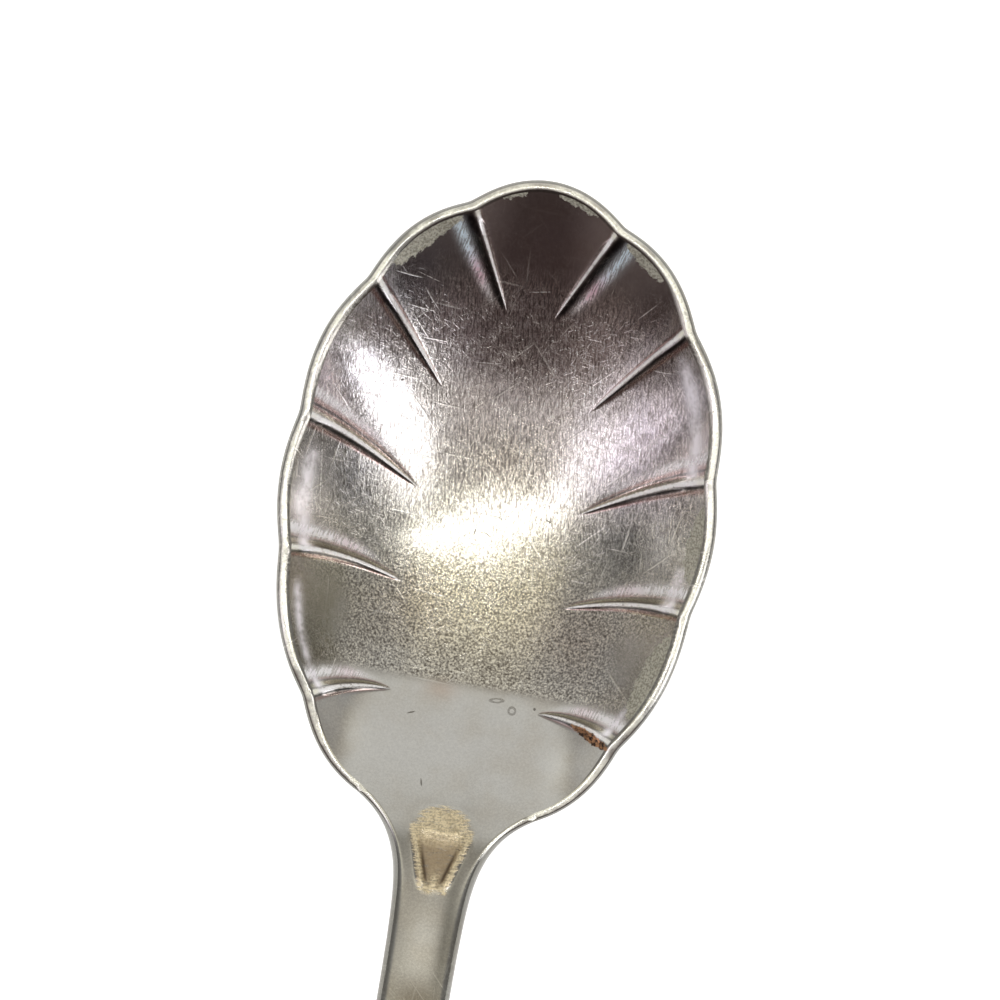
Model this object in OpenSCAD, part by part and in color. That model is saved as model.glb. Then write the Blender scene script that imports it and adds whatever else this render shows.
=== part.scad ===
// Sugar spoon with a lobed shell bowl, struck from one blank.
// +Y points to the front of the bowl, +Z is up, and the spoon lies on z = 0.
// The origin is the middle of the flat that is worn under the bowl.

/* [Overall] */
// Length of the whole spoon
overall_length = 152; // [140:0.5:165]
// Height of the top of the arched stem above the table
arch_height = 19.5; // [16:0.1:22]
// Height of the throat where it leaves the bowl
throat_height = 9.6; // [8.5:0.1:10.5]

/* [Bowl] */
// Length of the bowl from its neck end to the front edge
bowl_length = 53.7; // [50:0.1:58]
// Width of the bowl across its side lobes
bowl_width = 35.2; // [32:0.1:39]
// Depth of the bowl below its rim
bowl_depth = 9; // [7.5:0.1:10.5]
// Thickness of the metal in the bowl
sheet = 1.2; // [1:0.05:1.5]
// Depth worn off the underside where the bowl rests
rest_wear = 0.15; // [0.1:0.01:0.3]

/* [Lobes] */
// How far the front lobe stands out from the plain oval
front_lobe = 1.1; // [0.5:0.05:1.5]
// How far the second pair of lobes stands out
second_lobe = 0.5; // [0.3:0.05:1.2]
// How far the third pair of lobes stands out
third_lobe = 0.65; // [0.3:0.05:1.4]
// How far the side lobes stand out
side_lobe = 0.45; // [0.2:0.05:1]
// How far the rear lobes stand out
rear_lobe = 0.45; // [0.1:0.05:0.8]
// How far the shoulders stand out
shoulder_lobe = 0.65; // [0.1:0.05:1]

/* [Ridges] */
// Width of a ridge at the rim
ridge_width = 2.1; // [1.6:0.1:2.8]
// Height of a ridge just inside the rim
ridge_height = 0.6; // [0.3:0.05:0.9]

/* [Throat] */
// Width of the stem where it is narrowest
stem_width = 5.64; // [4.8:0.02:7]
// How much wider each side of the throat is where it meets the bowl
throat_flare = 4.5; // [3.5:0.1:5]
// Distance over which the flare of the throat dies away
flare_reach = 2.6; // [2:0.1:3.4]
// Rise of the throat's edges above its middle
throat_dish = 0.9; // [0.5:0.05:1.4]
// Half width of the thick heel under the throat
heel_half_width = 3.6; // [2.5:0.1:4.5]
// Length of the struck tongue on the throat
tongue_length = 5.6; // [4:0.1:6]
// Width of the tongue at the bowl
tongue_width = 5.4; // [4:0.1:6]
// Width of the tongue at its foot
tongue_foot_width = 1.8; // [1:0.1:2.4]
// Height of the two rails beside the tongue
rail_height = 0.3; // [0.1:0.05:0.4]
// Width of each rail
rail_width = 0.9; // [0.6:0.05:1.2]
// Depth of the tongue between the rails
tongue_depth = 0.3; // [0.1:0.05:0.4]

/* [Handle] */
// Length of the neck from the bowl to the stem
neck_length = 10; // [8:0.5:12]
// Length of the stem from the neck to the handle
stem_length = 36; // [30:0.5:40]
// Thickness of the stem at its middle line
stem_thickness = 3; // [2.4:0.1:3.4]
// Thickness of the stem at its sides
stem_edge = 2.2; // [1.8:0.1:2.4]
// Height of the soft crown across the stem
stem_crown = 0.35; // [0.1:0.05:0.6]
// Width of the handle at its widest
handle_width = 19; // [15:0.5:22]
// Thickness of the handle near its end
handle_thickness = 2.1; // [1.8:0.1:2.6]
// Thickness of the handle's edges
handle_edge = 1.6; // [1.3:0.1:1.8]
// Length of the rounded end of the handle
end_round = 11; // [8:0.5:14]
// How far the end of the handle is bedded down on the table
handle_bed = 0.2; // [0.1:0.05:0.4]

/* [Hidden] */

// The bowl: how its wall climbs, how much wider its front is, and how its lobes grow outwards
wall_power = 2.4;
egg_share = 0.045;
swell_power = 3;
rim_overhang_share = 0.85;

// Places along the spoon, as shares of the oval and of the length behind the bowl
part_share = 0.891;
ramp_share = 0.52;
arch_share = 0.42;
widest_share = 0.84;

// Slopes of the middle line at the bowl and at the end of the handle
throat_slope = 0.48;
end_slope = 0.07;

// The tongue: how its rails spread, and the part of its length over which it fades
spread_power = 0.8;
tongue_fade_share = 0.18;
hollow_power = 4;

// Ridges, from the front of the bowl to its neck
ridge_angles = [20.5, 48.5, 77.3, 101.5, 130];
ridge_root_shares = [0.33, 0.5, 0.42, 0.42, 0.5];
ridge_mark_shares = [-1, -0.7, -0.25, 0.25, 0.7, 1];
ridge_side_power = 4;
ridge_taper_power = 0.7;
ridge_growth_power = 0.8;
rim_ridge_share = 0.45;
rim_ridge_start = 0.85;

// Where the lines through the ridges meet the middle line, from the front to the neck
aim_shares = [0.53, 0.496, 0.11, -0.068, -0.289, -0.54, -0.68];
lobes = [front_lobe, second_lobe, third_lobe, side_lobe, rear_lobe, shoulder_lobe];

// Mesh counts, and how the bowl's rows crowd towards its rim
row_power = 1.4;
rows = 11;
lobe_steps = 5;
section_steps = 16;
rim_steps = 4;
neck_rows = 14;
stem_rows = 12;
handle_rows = 14;
end_rows = 10;
end_angle = 84;

// The plain oval that the lobes stand out from, at its outline and at its inner edge
oval_half_length = (bowl_length - front_lobe) / 2;
oval_half_width = bowl_width / 2 - side_lobe;
rim_overhang = rim_overhang_share * sheet;
cup_half_length = oval_half_length - rim_overhang;
cup_half_width = oval_half_width - rim_overhang;
floor_height = sheet - rest_wear;

// Where the pieces part, along Y
part_y = -part_share * oval_half_length;
neck_y = part_y - neck_length;
stem_y = neck_y - stem_length;
end_y = oval_half_length + front_lobe - overall_length;
ramp_y = -ramp_share * oval_half_length;
arch_y = part_y + arch_share * (end_y - part_y);
round_y = end_y + end_round;
widest_y = part_y + widest_share * (end_y - part_y);
tongue_top_y = part_y - rail_width / 2;
end_height = handle_thickness - handle_bed;
step_size = sheet / 100;

// Where the oval meets the parting plane, as an angle from the front
last_angle = acos(part_y / cup_half_length);
aim_angles = concat([0], ridge_angles, [last_angle]);
ridge_count = len(ridge_angles);

function mix(a, b, share) = a + (b - a) * share;
function unit(v) = v / norm(v);
function ease(from, to, place) =
    let (u = min(1, max(0, (place - from) / (to - from)))) u * u * (3 - 2 * u);

// Curve between two heights with a slope at each end
function curve(y0, z0, slope0, y1, z1, slope1, y) =
    let (h = y1 - y0, u = (y - y0) / h)
    mix(z0, z1, u * u * (3 - 2 * u)) + h * u * (1 - u) * (slope0 * (1 - u) - slope1 * u);

// Height of the top surface along the middle line, behind the bowl
function spine_z(y) =
    y > part_y ? throat_height - throat_slope * (y - part_y)
    : y > arch_y ? curve(part_y, throat_height, -throat_slope, arch_y, arch_height, 0, y)
    : curve(arch_y, arch_height, 0, end_y, end_height, end_slope, y);

// Half width of the neck, stem and handle, before the end is rounded
function blade_half(y) =
    mix(stem_width, handle_width, ease(neck_y - neck_length, widest_y, y)) / 2
    + throat_flare * exp((y - part_y) / flare_reach);

function half_width(y) =
    let (u = min(1, max(0, (round_y - y) / end_round)))
    blade_half(min(y, part_y)) * sqrt(1 - u * u);

// Rise from the middle line to the edge: dished in the throat, crowned on the stem
function cross_rise(y) = mix(throat_dish, -stem_crown, ease(part_y, neck_y, y));

// Two rails that run together, with a sunk tongue between them
function tongue_relief(x, y) =
    let (f = (y - tongue_top_y + tongue_length) / tongue_length)
    f <= 0 || f >= 1 ? 0 :
    let (rail_x = (mix(tongue_foot_width, tongue_width, pow(f, spread_power)) - rail_width) / 2,
         fade = ease(0, tongue_fade_share, f) * ease(1, 1 - tongue_fade_share, f),
         u = (abs(x) - rail_x) / (rail_width / 2),
         hollow = abs(x) < rail_x ? 1 - pow(abs(x) / rail_x, hollow_power) : 0)
    fade * (rail_height * exp(-u * u) - tongue_depth * hollow);

function throat_z(x, y) =
    let (y_here = min(y, part_y), u = x / half_width(y_here))
    spine_z(y) + cross_rise(y_here) * u * u;

// The oval is a little wider towards the front
function egg(share) = 1 + egg_share * share;
function cup_z(x, y) =
    let (v = y / cup_half_length, u = x / (cup_half_width * egg(v)))
    floor_height + (bowl_depth + rest_wear) * pow(norm([u, v]), wall_power);

// Height of the whole top surface, without the tongue's relief
function top_z(x, y) =
    y <= part_y ? throat_z(x, y)
    : y >= ramp_y ? cup_z(x, y)
    : mix(cup_z(x, y), throat_z(x, y), ease(ramp_y, part_y, y));

function slope_x(x, y) = (top_z(x + step_size, y) - top_z(x - step_size, y)) / (2 * step_size);
function slope_y(x, y) = (top_z(x, y + step_size) - top_z(x, y - step_size)) / (2 * step_size);

// Direction square to the surface, turned into the parting plane near it
function face_dir(x, y) =
    unit([-slope_x(x, y), -slope_y(x, y) * ease(part_y, ramp_y, y), 1]);

// Thickness of the metal
function edge_metal(y) =
    y > arch_y ? mix(sheet, stem_edge, ease(part_y, neck_y, y))
    : mix(stem_edge, handle_edge, ease(arch_y, widest_y, y));
function middle_metal(y) =
    y > arch_y ? mix(sheet, stem_thickness, ease(ramp_y, neck_y, y))
    : mix(stem_thickness, handle_thickness, ease(arch_y, widest_y, y));
function metal(x, y) =
    let (u = x / (heel_half_width + half_width(min(y, part_y)) * ease(part_y, neck_y, y)))
    mix(edge_metal(y), middle_metal(y), exp(-u * u));

function above_table(p) = [p.x, p.y, max(0, p.z)];

// One section across the neck, stem or handle
function side_slope(y) =
    abs(half_width(y + step_size) - half_width(y - step_size)) / (2 * step_size);
function inner_half(y) =
    max(half_width(y) / 2, half_width(y) - edge_metal(y) / 2 * norm([1, side_slope(y)]));
function squeeze(y) =
    let (u = min(1, max(0, 1 - (y - end_y) / (handle_edge / 2)))) sqrt(1 - u * u);
function section_middle(v, y) =
    let (x = v * inner_half(y))
    [x, y, top_z(x, y)] - face_dir(x, y) * metal(x, y) / 2;
function section_face(v, y, side) =
    let (x = v * inner_half(y), relief = side > 0 ? tongue_relief(x, y) : 0)
    section_middle(v, y) + side * face_dir(x, y) * metal(x, y) / 2 * squeeze(y)
    + [0, 0, relief];
function section_edge(hand, y, turn) =
    let (x = hand * inner_half(y),
         middle = section_middle(hand, y),
         side = [hand * half_width(y), y, middle.z])
    middle
    + face_dir(x, y) * metal(x, y) / 2 * squeeze(y) * cos(turn)
    + (side - middle) * sin(turn);
function section_ring(y) = [for (p = concat(
    [for (j = [0:section_steps]) section_face(2 * j / section_steps - 1, y, 1)],
    [for (k = [1:rim_steps - 1]) section_edge(1, y, 180 * k / rim_steps)],
    [for (j = [0:section_steps]) section_face(1 - 2 * j / section_steps, y, -1)],
    [for (k = [rim_steps - 1:-1:1]) section_edge(-1, y, 180 * k / rim_steps)]))
    above_table(p)];

// Triangles of an end face, from the index of each of its points
function end_faces(index, flip) =
    let (under = section_steps + rim_steps,
         last = 2 * under - 1,
         quads = [for (j = [0:section_steps - 1]) each [
             [j, j + 1, last - rim_steps + 1 - j],
             [j + 1, last - rim_steps - j, last - rim_steps + 1 - j]]],
         right = [for (k = [0:rim_steps - 2])
             [section_steps, section_steps + 1 + k, section_steps + 2 + k]],
         left = [for (k = [0:rim_steps - 2]) [0, last - rim_steps + 1 + k, last - rim_steps + 2 + k]])
    [for (f = concat(quads, right, left))
        flip ? [index[f[0]], index[f[2]], index[f[1]]] : [for (i = f) index[i]]];

// A solid through sections at the given places along Y
module loft(places) {
    ring = 2 * (section_steps + rim_steps);
    last = len(places) - 1;
    points = [for (y = places) each section_ring(y)];
    sides = [for (i = [0:last - 1], j = [0:ring - 1])
        let (a = i * ring + j, b = i * ring + (j + 1) % ring) each [
            [a, b, b + ring],
            [a, b + ring, a + ring]]];
    first_face = end_faces([for (j = [0:ring - 1]) j], true);
    last_face = end_faces([for (j = [0:ring - 1]) last * ring + j], false);
    polyhedron(points, concat(sides, first_face, last_face), convexity = 4);
}

// The bowl's mesh runs in columns from the middle line to the rim and back underneath
function arc_rate(angle) =
    norm([cup_half_width * cos(angle), cup_half_length * sin(angle)]) * PI / 180;
function ridge_edge(k, mark) =
    ridge_angles[k] + mark * ridge_width / 2 / arc_rate(ridge_angles[k]);
function lobe_end(k) = k < ridge_count ? ridge_edge(k, -1) : last_angle;
side_angles = concat(
    [for (j = [0:lobe_steps - 2]) mix(0, lobe_end(0), j / (lobe_steps - 1))],
    [for (k = [0:ridge_count - 1]) each concat(
        [for (mark = ridge_mark_shares) ridge_edge(k, mark)],
        [for (j = [1:lobe_steps - 1]) mix(ridge_edge(k, 1), lobe_end(k + 1), j / lobe_steps)])]);
side_columns = len(side_angles);
columns = 2 * side_columns + section_steps;

function aim_y(angle) = oval_half_length
    * lookup(angle, [for (k = [0:ridge_count + 1]) [aim_angles[k], aim_shares[k]]]);

// How far the lobes stand out at an angle
function lobe_number(angle) = len([for (a = ridge_angles) if (a <= angle) a]);
function lobe_swell(angle) =
    let (k = lobe_number(angle),
         from = k == 0 ? -ridge_angles[0] : ridge_angles[k - 1],
         to = k < ridge_count ? ridge_angles[k] : last_angle)
    lobes[k] * sin(180 * (angle - from) / (to - from));

// How far the ridges stand up at an angle and a share of the way to the rim, where they sink
// back into it
function ridge_lift(angle, share) = max([for (k = [0:ridge_count - 1])
    let (grow = max(0, (share - ridge_root_shares[k]) / (1 - ridge_root_shares[k])),
         away = abs(angle - ridge_angles[k]) * arc_rate(ridge_angles[k]) * share,
         u = grow > 0 ? away / (ridge_width / 2 * pow(grow, ridge_taper_power)) : 1,
         side = u < 1 ? 1 - pow(u, ridge_side_power) : 0)
    ridge_height * pow(grow, ridge_growth_power) * side * ridge_sink(share)]);
function ridge_sink(share) = mix(1, rim_ridge_share, ease(rim_ridge_start, 1, share));

function rim_x(angle) = cup_half_width * sin(angle) * egg(cos(angle));
function rim_out(angle, hand) =
    [hand * cup_half_length * sin(angle), cup_half_width * cos(angle), 0];
function row_share(r) = 1 - pow(1 - r / rows, row_power);
function wall_point(angle, share, hand, under) =
    let (aim = aim_y(angle),
         x = hand * rim_x(angle) * share,
         y = mix(aim, cup_half_length * cos(angle), share),
         out = unit(rim_out(angle, hand)),
         up = face_dir(x, y),
         lift = unit(mix(up, [0, 0, 1], ease(rim_ridge_start, 1, share))))
    [x, y, top_z(x, y)] + out * lobe_swell(angle) * pow(share, swell_power)
    + lift * ridge_lift(angle, share) - up * under * metal(x, y);
function rim_point(angle, hand, turn) =
    let (x = hand * rim_x(angle),
         y = cup_half_length * cos(angle),
         up = face_dir(x, y),
         out = rim_out(angle, hand),
         along = unit(out - up * (out * up)))
    wall_point(angle, 1, hand, 1 / 2)
    + (up * cos(turn) + along * sin(turn)) * metal(x, y) / 2;
function side_strip(angle, hand) = concat(
    [for (r = [1:rows]) wall_point(angle, row_share(r), hand, 0)],
    [for (k = [1:rim_steps - 1]) rim_point(angle, hand, 180 * k / rim_steps)],
    [for (r = [rows:-1:1]) wall_point(angle, row_share(r), hand, 1)]);

// Columns that end on the parting plane instead of the rim
function floor_point(v, share, under) =
    let (x = v * inner_half(part_y) * share,
         y = mix(aim_y(last_angle), part_y, share))
    [x, y, top_z(x, y)] - face_dir(x, y) * under * metal(x, y);
function cut_strip(v) = concat(
    [for (r = [1:rows]) floor_point(v, row_share(r), 0)],
    [for (k = [1:rim_steps - 1]) section_edge(v < 0 ? -1 : 1, part_y, 180 * k / rim_steps)],
    [for (r = [rows:-1:1]) floor_point(v, row_share(r), 1)]);

function column_strip(i) =
    i < side_columns ? side_strip(side_angles[i], 1)
    : i <= side_columns + section_steps ? cut_strip(1 - 2 * (i - side_columns) / section_steps)
    : side_strip(side_angles[columns - i], -1);
function axis_number(i) = min(i, columns - i, side_columns);

module bowl() {
    strip = 2 * rows + rim_steps - 1;
    points = concat(
        [for (i = [0:columns - 1]) each column_strip(i)],
        [for (under = [0, 1], i = [0:side_columns])
            i < side_columns ? wall_point(side_angles[i], 0, 1, under) : floor_point(0, 0, under)]);
    axis_top = columns * strip;
    axis_under = axis_top + side_columns + 1;
    cut_first = side_columns;
    cut_last = side_columns + section_steps;
    walls = [for (i = [0:columns - 1], j = [0:strip - 2])
        if (i < cut_first || i >= cut_last || j < rows - 1 || j > rows + rim_steps - 2)
        let (a = i * strip + j, b = (i + 1) % columns * strip + j) each [
            [a, a + 1, b + 1],
            [a, b + 1, b]]];
    middle = [for (i = [0:columns - 1])
        let (a = axis_number(i), b = axis_number((i + 1) % columns),
             near = i * strip, far = (i + 1) % columns * strip, low = strip - 1) each concat(
            [[axis_top + a, near, far], [axis_under + a, far + low, near + low]],
            a == b ? [] : [[axis_top + a, far, axis_top + b],
                           [axis_under + a, axis_under + b, far + low]])];
    cut_index = concat(
        [for (i = [cut_last:-1:cut_first]) i * strip + rows - 1],
        [for (k = [0:rim_steps - 2]) cut_first * strip + rows + k],
        [for (i = [cut_first:cut_last]) i * strip + rows + rim_steps - 1],
        [for (k = [rim_steps - 2:-1:0]) cut_last * strip + rows + k]);
    color("#a9a598")
        polyhedron([for (p = points) above_table(p)],
            concat(walls, middle, end_faces(cut_index, false)), convexity = 6);
}

module neck() {
    color("#b3a888")
        loft([for (i = [0:neck_rows]) mix(part_y, neck_y, i / neck_rows)]);
}

module stem() {
    color("#a39f90")
        loft([for (i = [0:stem_rows]) mix(neck_y, stem_y, i / stem_rows)]);
}

module handle() {
    color("#a39f90")
        loft(concat(
            [for (i = [0:handle_rows - 1]) mix(stem_y, round_y, i / handle_rows)],
            [for (i = [0:end_rows]) round_y - end_round * sin(end_angle * i / end_rows)]));
}

bowl();
neck();
stem();
handle();
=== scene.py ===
"""Looks of the sugar spoon: a smooth skin from the solids' own curves, old silver plate and soft light."""

import math

import bpy
import numpy as np
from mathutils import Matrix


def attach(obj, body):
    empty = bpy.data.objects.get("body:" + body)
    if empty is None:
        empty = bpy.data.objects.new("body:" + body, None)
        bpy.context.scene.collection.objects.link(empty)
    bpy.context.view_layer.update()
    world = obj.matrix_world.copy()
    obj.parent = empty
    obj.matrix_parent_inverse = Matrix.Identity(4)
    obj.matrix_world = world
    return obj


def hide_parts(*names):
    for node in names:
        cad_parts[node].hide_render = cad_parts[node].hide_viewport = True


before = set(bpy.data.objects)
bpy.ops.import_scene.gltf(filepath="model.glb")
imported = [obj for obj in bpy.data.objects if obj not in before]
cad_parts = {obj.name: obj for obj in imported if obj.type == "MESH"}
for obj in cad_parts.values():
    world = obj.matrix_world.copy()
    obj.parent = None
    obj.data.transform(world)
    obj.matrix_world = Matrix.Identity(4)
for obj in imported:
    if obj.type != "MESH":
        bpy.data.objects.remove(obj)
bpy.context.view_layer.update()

MM = 0.001

# Sizes in millimetres, as in the solids
OVERALL_LENGTH = 152
ARCH_HEIGHT = 19.5
THROAT_HEIGHT = 9.6
BOWL_LENGTH = 53.7
BOWL_WIDTH = 35.2
BOWL_DEPTH = 9
SHEET = 1.2
REST_WEAR = 0.15
FRONT_LOBE, SECOND_LOBE, THIRD_LOBE = 1.1, 0.5, 0.65
SIDE_LOBE, REAR_LOBE, SHOULDER_LOBE = 0.45, 0.45, 0.65
RIDGE_HEIGHT = 0.5
STEM_WIDTH = 5.64
THROAT_FLARE = 4.5
FLARE_REACH = 2.6
THROAT_DISH = 0.9
HEEL_HALF_WIDTH = 3.6
RAIL_HEIGHT = 0.3
TONGUE_DEPTH = 0.3
NECK_LENGTH = 10
STEM_LENGTH = 36
STEM_THICKNESS = 3
STEM_EDGE = 2.2
STEM_CROWN = 0.35
HANDLE_WIDTH = 19
HANDLE_THICKNESS = 2.1
HANDLE_EDGE = 1.6
END_ROUND = 11
HANDLE_BED = 0.2

# How the bowl and the middle line are shaped
WALL_POWER = 2.4
EGG_SHARE = 0.045
SWELL_POWER = 3
OVAL_HALF_LENGTH = (BOWL_LENGTH - FRONT_LOBE) / 2
OVAL_HALF_WIDTH = BOWL_WIDTH / 2 - SIDE_LOBE
RIM_OVERHANG = 0.85 * SHEET
CUP_HALF_LENGTH = OVAL_HALF_LENGTH - RIM_OVERHANG
CUP_HALF_WIDTH = OVAL_HALF_WIDTH - RIM_OVERHANG
FLOOR_HEIGHT = SHEET - REST_WEAR
PART_Y = -0.891 * OVAL_HALF_LENGTH
NECK_Y = PART_Y - NECK_LENGTH
STEM_Y = NECK_Y - STEM_LENGTH
END_Y = OVAL_HALF_LENGTH + FRONT_LOBE - OVERALL_LENGTH
RAMP_Y = -0.52 * OVAL_HALF_LENGTH
ARCH_Y = PART_Y + 0.42 * (END_Y - PART_Y)
ROUND_Y = END_Y + END_ROUND
WIDEST_Y = PART_Y + 0.84 * (END_Y - PART_Y)
END_HEIGHT = HANDLE_THICKNESS - HANDLE_BED
THROAT_SLOPE = 0.48
END_SLOPE = 0.07
FLARE_SOFTNESS = 0.9
CORNER_SOFTNESS = 0.10
STEP = 0.01

# The struck tongue: a domed cap, two rails that run together, the sunk tongue and a bump at its foot
CAP_Y = -24.75
CAP_HALF_LENGTH = 1.5
CAP_HALF_WIDTH = 2.6
CAP_POWER = 2.2
CAP_RISE = 0.62
RAIL_TOP_Y, RAIL_FOOT_Y = -25.7, -29.9
RAIL_TOP_X, RAIL_FOOT_X = 2.25, 0.88
RAIL_HALF = 0.32
HOLLOW_TOP_Y, HOLLOW_FOOT_Y = -25.3, -30.0
FOOT_Y = -29.35
FOOT_HALF_WIDTH, FOOT_HALF_LENGTH = 0.45, 0.6
FOOT_RISE = 0.6
# How far the rails reach past their ends, and fade inside them
RAIL_TOP_OUT, RAIL_TOP_IN = 0.5, 0.7
RAIL_FOOT_OUT, RAIL_FOOT_IN = 0.3, 0.9
# The wall of the hollow, inwards from the middle of a rail, and the slopes at its ends
WALL_START, WALL_END = 0.15, 0.6
HOLLOW_TOP_SLOPE, HOLLOW_FOOT_SLOPE = 1.9, 1
# Painted shade: a dark crease along the foot of that wall
CREASE_IN, CREASE_HALF = 0.45, 0.15
CREASE_START_Y, CREASE_FULL_Y = -26.2, -28.0
CREASE_FADE = 0.8
# How far past the rails the brass shows, and where it is fully bare
BRASS_SIDE = 0.6
BRASS_TOP_OUT, BRASS_TOP_FULL = 1.2, 0.1
BRASS_FOOT_OUT, BRASS_FOOT_FULL = 0.9, 0.2
NECK_FADE = 0.5

RIDGE_ANGLES = (20.5, 48.5, 77.3, 101.5, 130)
RIDGE_ROOT_SHARES = (0.33, 0.5, 0.42, 0.42, 0.5)
RIDGE_GROWTH_POWER = 0.8
RIDGE_TAPER_POWER = 0.7
RIM_RIDGE_SHARE = 0.08
RIM_RIDGE_START = 0.86
RIDGE_BENDS = (0, 0, 0.9, 1.2, 1.1)
LOBES = (FRONT_LOBE, SECOND_LOBE, THIRD_LOBE, SIDE_LOBE, REAR_LOBE, SHOULDER_LOBE)
LAST_ANGLE = math.degrees(math.acos(PART_Y / CUP_HALF_LENGTH))
AIM_ANGLES = (0, *RIDGE_ANGLES, LAST_ANGLE)
AIM_SHARES = (0.53, 0.496, 0.11, -0.068, -0.289, -0.54, -0.68)

# Which side of a ridge is the soft one: 1 towards the front of the bowl, -1 towards the neck
SOFT_SIDES = (-1, 1, 1, 1, 1)

# Mesh counts and spacings
ROWS = 96
UNDER_ROWS = 26
ROW_POWER = 1.35
RIM_STEPS = 20
CUT_COLUMNS = 64
WEDGE_COLUMNS = 12
WIDE_SPACING = 0.34
FINE_SPACING = 0.09
FINE_REACH = 1.5
WEDGE_ANGLE = 153.5
NECK_ROWS = 150
STEM_ROWS = 130
HANDLE_ROWS = 170
END_ROWS = 36
END_ANGLE = 84


def mix(a, b, share):
    return a + (b - a) * share


def ease(start, end, place):
    u = np.clip((place - start) / (end - start), 0, 1)
    return u * u * (3 - 2 * u)


def sind(angle):
    return np.sin(np.radians(angle))


def cosd(angle):
    return np.cos(np.radians(angle))


def heading(turn):
    return math.cos(math.radians(turn)), math.sin(math.radians(turn))


def unit(v):
    return v / np.linalg.norm(v, axis=-1, keepdims=True)


def curve(y0, z0, slope0, y1, z1, slope1, y):
    h = y1 - y0
    u = (y - y0) / h
    return mix(z0, z1, u * u * (3 - 2 * u)) + h * u * (1 - u) * (slope0 * (1 - u) - slope1 * u)


def spine_z(y):
    ramp = THROAT_HEIGHT - THROAT_SLOPE * (y - PART_Y)
    arch = curve(PART_Y, THROAT_HEIGHT, -THROAT_SLOPE, ARCH_Y, ARCH_HEIGHT, 0, y)
    tail = curve(ARCH_Y, ARCH_HEIGHT, 0, END_Y, END_HEIGHT, END_SLOPE, y)
    return np.where(y > PART_Y, ramp, np.where(y > ARCH_Y, arch, tail))


def blade_half(y):
    blade = mix(STEM_WIDTH, HANDLE_WIDTH, ease(NECK_Y - NECK_LENGTH, WIDEST_Y, y)) / 2
    return blade + THROAT_FLARE * np.exp((y - PART_Y) / FLARE_REACH)


def half_width(y):
    u = np.clip((ROUND_Y - y) / END_ROUND, 0, 1)
    return blade_half(np.minimum(y, PART_Y)) * np.sqrt(1 - u * u)


def cross_rise(y):
    return mix(THROAT_DISH, -STEM_CROWN, ease(PART_Y, NECK_Y, y))


def rail_place(y):
    return mix(RAIL_TOP_X, RAIL_FOOT_X, np.clip((RAIL_TOP_Y - y) / (RAIL_TOP_Y - RAIL_FOOT_Y), 0, 1))


def tongue_parts(x, y):
    """Shares of the cap, the rails, the sunk tongue and the bump at its foot."""
    away = np.abs(x)
    rail_x = rail_place(y)
    along = ease(RAIL_TOP_Y + RAIL_TOP_OUT, RAIL_TOP_Y - RAIL_TOP_IN, y)
    along = along * ease(RAIL_FOOT_Y - RAIL_FOOT_OUT, RAIL_FOOT_Y + RAIL_FOOT_IN, y)
    rails = along * np.exp(-(((away - rail_x) / RAIL_HALF) ** 2))
    cap_away = (away / CAP_HALF_WIDTH) ** CAP_POWER + (np.abs(y - CAP_Y) / CAP_HALF_LENGTH) ** CAP_POWER
    cap = ease(1.0, 0.45, cap_away ** (1 / CAP_POWER))
    hollow = ease(rail_x - WALL_START, rail_x - WALL_END, away)
    hollow = hollow * ease(HOLLOW_TOP_Y, HOLLOW_TOP_Y - HOLLOW_TOP_SLOPE, y)
    hollow = hollow * ease(HOLLOW_FOOT_Y, HOLLOW_FOOT_Y + HOLLOW_FOOT_SLOPE, y)
    foot = np.exp(-((x / FOOT_HALF_WIDTH) ** 2) - ((y - FOOT_Y) / FOOT_HALF_LENGTH) ** 2)
    return cap, rails, hollow, foot


def tongue_relief(x, y):
    cap, rails, hollow, foot = tongue_parts(x, y)
    raised = np.maximum(np.maximum(rails, CAP_RISE * cap), FOOT_RISE * foot)
    inside = ease(PART_Y, PART_Y - NECK_FADE, y) * ease(NECK_Y, NECK_Y + NECK_FADE, y)
    return inside * (RAIL_HEIGHT * raised - TONGUE_DEPTH * hollow * (1 - foot))


def throat_z(x, y):
    # The flare starts softly, so that no crease shows where the bowl meets the neck
    y_here = PART_Y - FLARE_SOFTNESS * np.logaddexp(0, (PART_Y - y) / FLARE_SOFTNESS)
    u = x / np.maximum(half_width(y_here), STEP)
    return spine_z(y) + cross_rise(y_here) * u * u


def egg(share):
    return 1 + EGG_SHARE * share


def cup_z(x, y):
    v = y / CUP_HALF_LENGTH
    u = x / (CUP_HALF_WIDTH * egg(v))
    return FLOOR_HEIGHT + (BOWL_DEPTH + REST_WEAR) * np.hypot(u, v) ** WALL_POWER


def top_z(x, y):
    blend = mix(cup_z(x, y), throat_z(x, y), ease(RAMP_Y, PART_Y, y))
    return np.where(y <= PART_Y, throat_z(x, y), blend)


def face_dir(x, y):
    slope_x = (top_z(x + STEP, y) - top_z(x - STEP, y)) / (2 * STEP)
    slope_y = (top_z(x, y + STEP) - top_z(x, y - STEP)) / (2 * STEP)
    slope_y = slope_y * ease(PART_Y, RAMP_Y, y)
    return unit(np.stack([-slope_x, -slope_y, np.ones_like(slope_x)], -1))


def edge_metal(y):
    front = mix(SHEET, STEM_EDGE, ease(PART_Y, NECK_Y, y))
    back = mix(STEM_EDGE, HANDLE_EDGE, ease(ARCH_Y, WIDEST_Y, y))
    return np.where(y > ARCH_Y, front, back)


def middle_metal(y):
    front = mix(SHEET, STEM_THICKNESS, ease(RAMP_Y, NECK_Y, y))
    back = mix(STEM_THICKNESS, HANDLE_THICKNESS, ease(ARCH_Y, WIDEST_Y, y))
    return np.where(y > ARCH_Y, front, back)


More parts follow.
